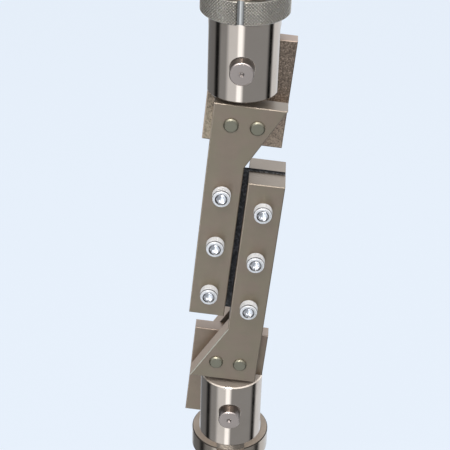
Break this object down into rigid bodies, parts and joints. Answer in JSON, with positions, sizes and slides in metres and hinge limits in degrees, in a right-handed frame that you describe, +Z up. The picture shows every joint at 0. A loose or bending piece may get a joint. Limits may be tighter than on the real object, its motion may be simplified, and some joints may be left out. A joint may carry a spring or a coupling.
{
  "type": "shear test fixture",
  "caption": "Two-rail shear test fixture: leaning rail pairs clamp a laminate and hang between two round pinned fork couplings with lock rings.",
  "frame": {"origin": "middle of the specimen, which is the middle of the whole fixture's box", "axes": "+Z up along the load line through both cross pins, +Y away from the front with the screw heads, +X to the right seen from the front"},
  "size_m": [0.0878, 0.082, 0.488],
  "materials": {
    "rail_steel": "ground, satin",
    "tongue_steel": "ground, mottled",
    "dowel_steel": "turned, hardened",
    "screw_steel": "bright plated",
    "coupling_steel": "fine turned and polished",
    "pin_steel": "ground",
    "knurled_ring_steel": "diamond knurled",
    "plain_ring_steel": "turned",
    "laminate": "woven carbon laminate, dull"
  },
  "bodies": {
    "upper_coupling": {"upper_coupling": "coupling_steel"},
    "upper_cross_pin": {"upper_cross_pin": "pin_steel"},
    "upper_lock_ring": {"upper_lock_ring": "knurled_ring_steel"},
    "rail_assembly": {"front_left_rail": "rail_steel", "back_left_rail": "rail_steel", "front_right_rail": "rail_steel", "back_right_rail": "rail_steel", "upper_tongue_plate": "tongue_steel", "lower_tongue_plate": "tongue_steel", "laminate_specimen": "laminate", "upper_outer_dowel": "dowel_steel", "upper_tip_dowel": "dowel_steel", "lower_outer_dowel": "dowel_steel", "lower_tip_dowel": "dowel_steel", "left_top_clamp_screw": "screw_steel", "left_middle_clamp_screw": "screw_steel", "left_bottom_clamp_screw": "screw_steel", "right_top_clamp_screw": "screw_steel", "right_middle_clamp_screw": "screw_steel", "right_bottom_clamp_screw": "screw_steel"},
    "lower_coupling": {"lower_coupling": "coupling_steel"},
    "lower_cross_pin": {"lower_cross_pin": "pin_steel"},
    "lower_lock_ring": {"lower_lock_ring": "plain_ring_steel"}
  },
  "joints": [
    {"name": "upper_fork_swing", "type": "hinge", "parent": "upper_coupling", "child": "rail_assembly", "pos_m": [0, 0, 0.1772], "axis": [0, 1, 0], "range_deg": [-13, 6.5]},
    {"name": "upper_pin_slide", "type": "slide", "parent": "upper_coupling", "child": "upper_cross_pin", "axis": [0, -1, 0], "range_m": [0, 0.06]},
    {"name": "upper_ring_turn", "type": "hinge", "parent": "upper_coupling", "child": "upper_lock_ring", "pos_m": [0, 0, 0.2265], "axis": [0, 0, 1], "continuous": true},
    {"name": "lower_fork_swing", "type": "hinge", "parent": "rail_assembly", "child": "lower_coupling", "pos_m": [0, 0, -0.1772], "axis": [0, 1, 0], "range_deg": [-6.5, 13]},
    {"name": "lower_pin_slide", "type": "slide", "parent": "lower_coupling", "child": "lower_cross_pin", "axis": [0, -1, 0], "range_m": [0, 0.06]},
    {"name": "lower_ring_turn", "type": "hinge", "parent": "lower_coupling", "child": "lower_lock_ring", "pos_m": [0, 0, -0.2265], "axis": [0, 0, 1], "continuous": true}
  ]
}
